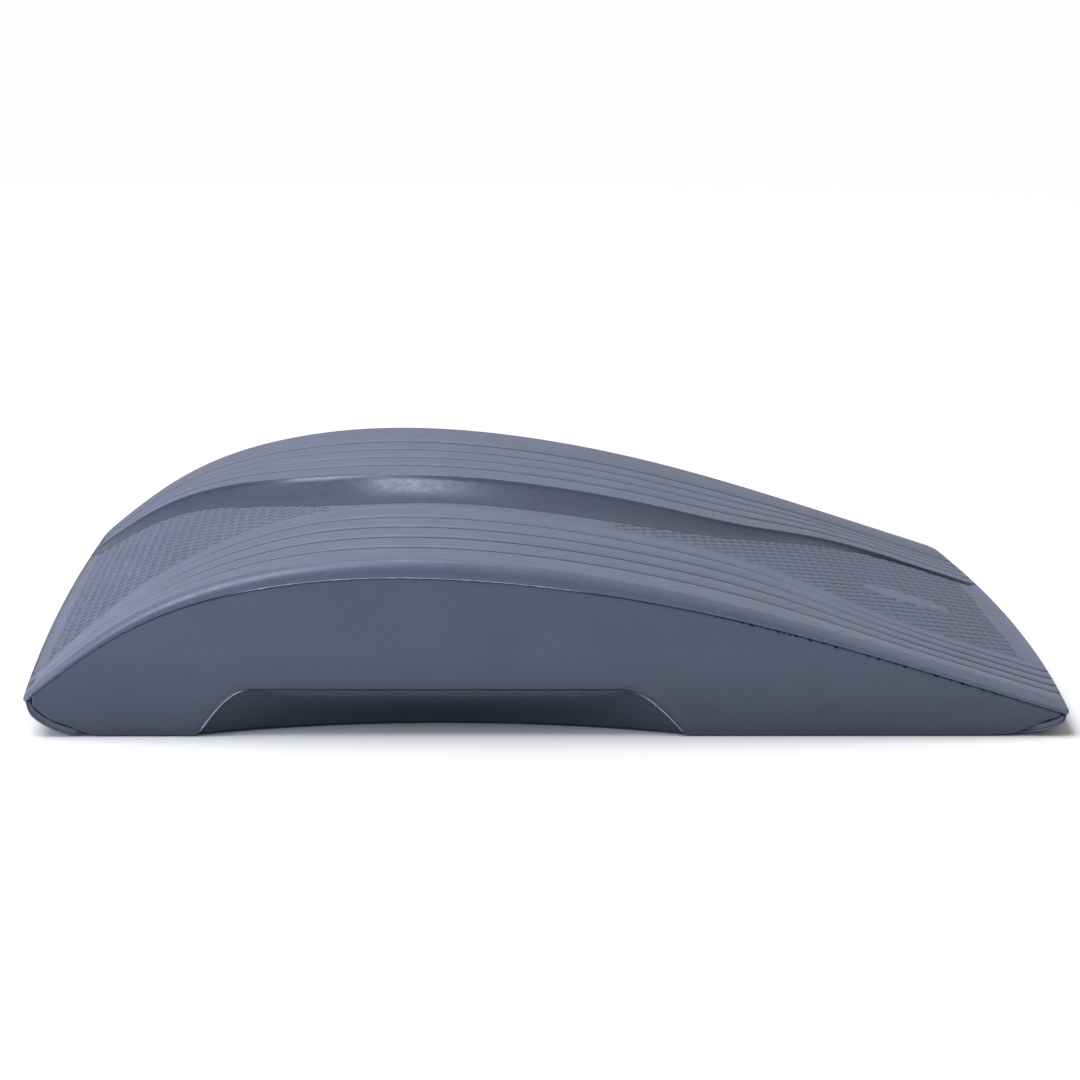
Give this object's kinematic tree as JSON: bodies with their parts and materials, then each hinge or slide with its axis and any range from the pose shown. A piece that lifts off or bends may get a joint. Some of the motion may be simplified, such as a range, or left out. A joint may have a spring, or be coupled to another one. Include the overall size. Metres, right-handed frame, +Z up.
{
  "type": "foam exercise board",
  "caption": "Wedge-shaped moulded foam floor board with a rounded hump, a spine channel along its top, grooved side bands and a hand scoop under each long side.",
  "frame": {"origin": "on the floor, under the middle of the board's box", "axes": "+X along the board from the steep end to the thin end, +Y from the front long side to the rear one, +Z up"},
  "size_m": [0.3892, 0.3, 0.0639],
  "materials": {
    "top_skin": "satin moulded foam skin, grooved and finely knurled",
    "panel_skin": "smooth matte foam skin",
    "liner_skin": "smooth matte foam skin",
    "base_skin": "matte foam skin",
    "foam": "closed-cell foam, hidden inside the skins"
  },
  "bodies": {
    "root": {"top_cover": "top_skin", "side_panel_front": "panel_skin", "side_panel_rear": "panel_skin", "grip_liner_front": "liner_skin", "grip_liner_rear": "liner_skin", "base_cover": "base_skin", "foam_core": "foam"}
  },
  "joints": []
}
